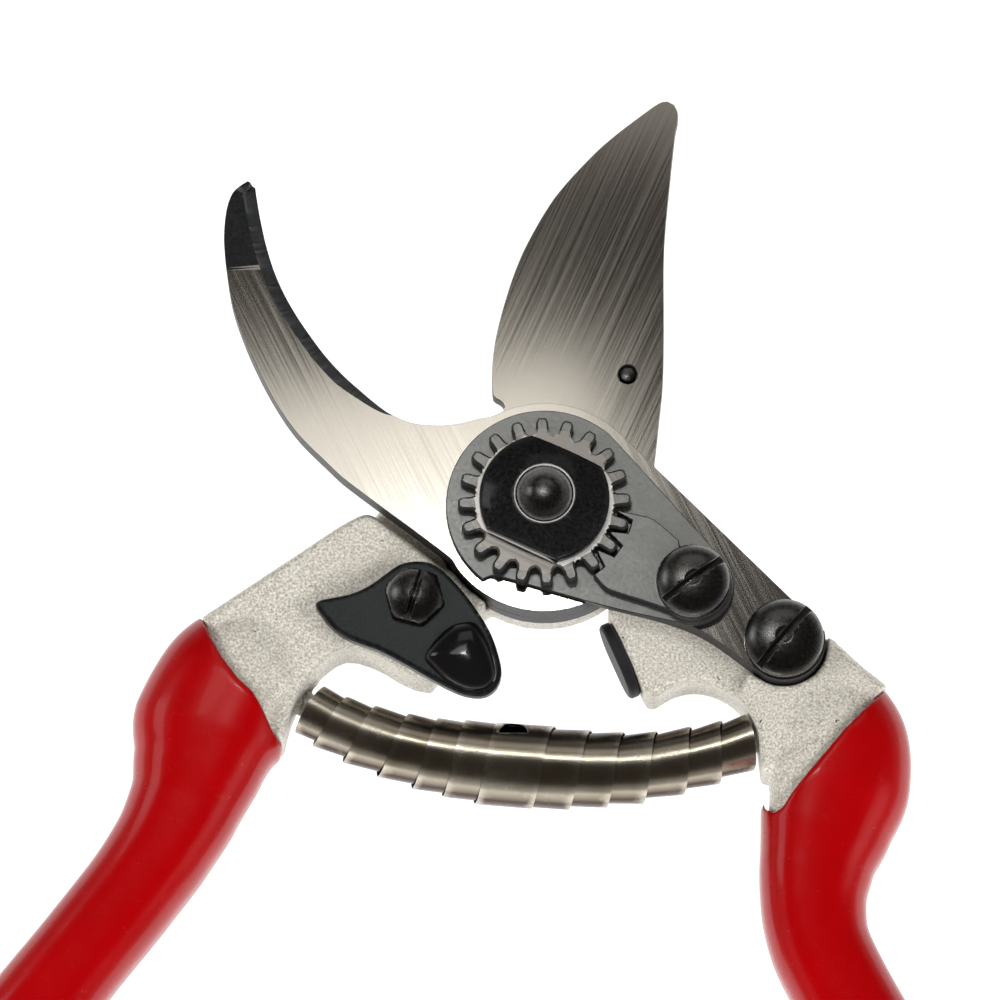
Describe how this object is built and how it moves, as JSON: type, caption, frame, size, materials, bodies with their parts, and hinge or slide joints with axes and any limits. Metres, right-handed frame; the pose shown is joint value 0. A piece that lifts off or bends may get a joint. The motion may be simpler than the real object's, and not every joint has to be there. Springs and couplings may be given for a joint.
{
  "type": "pruning shears",
  "caption": "Open bypass pruning shears: curved cutting blade and hook blade on an adjustable pivot, cast handles with red coated grips, volute spring and thumb catch.",
  "frame": {"origin": "middle of the pivot bolt's flat rear face, on the pivot axis", "axes": "XY is the plane of the blades, +Y towards the open jaw, +Z from the bolt head to the toothed nut"},
  "size_m": [0.1782, 0.2017, 0.0286],
  "materials": {
    "cast_aluminium": "tumbled casting, fine grain, satin",
    "red_plastic": "dipped soft plastic, glossy",
    "brushed_steel": "ground and brushed",
    "phosphate_steel": "grey phosphate, matte grain",
    "black_oxide": "black oxide, satin",
    "catch_steel": "blue-black coat, satin",
    "black_gloss": "moulded, glossy",
    "rubber": "matte rubber",
    "nickel_strip": "bright nickel-plated spring strip"
  },
  "bodies": {
    "hook_side": {"right_handle": "cast_aluminium", "right_grip": "red_plastic", "hook_blade": "brushed_steel", "lock_plate": "phosphate_steel", "toothed_segment": "phosphate_steel", "segment_screw": "black_oxide", "hook_screw": "black_oxide", "segment_screw_nut": "black_oxide", "hook_screw_nut": "black_oxide", "pivot_bolt": "black_oxide", "pivot_nut": "black_oxide", "bumper": "rubber", "volute_spring": "nickel_strip"},
    "blade_side": {"left_handle": "cast_aluminium", "left_grip": "red_plastic", "cutting_blade": "brushed_steel", "blade_pin": "black_oxide", "catch_screw": "black_oxide", "catch_spring_washer": "black_oxide"},
    "catch": {"thumb_catch": "catch_steel", "catch_pad": "black_gloss"}
  },
  "joints": [
    {"name": "main_pivot", "type": "hinge", "parent": "hook_side", "child": "blade_side", "pos_m": [0, 0, 0.01], "axis": [0, 0, 1], "range_deg": [0, 58], "stiffness_Nm_per_rad": 1, "springref_deg": -17.19, "deforming": ["volute_spring"]},
    {"name": "catch_pivot", "type": "hinge", "parent": "blade_side", "child": "catch", "pos_m": [-0.0225, -0.0164, 0.0163], "axis": [0, 0, 1], "range_deg": [-25, 3]}
  ]
}
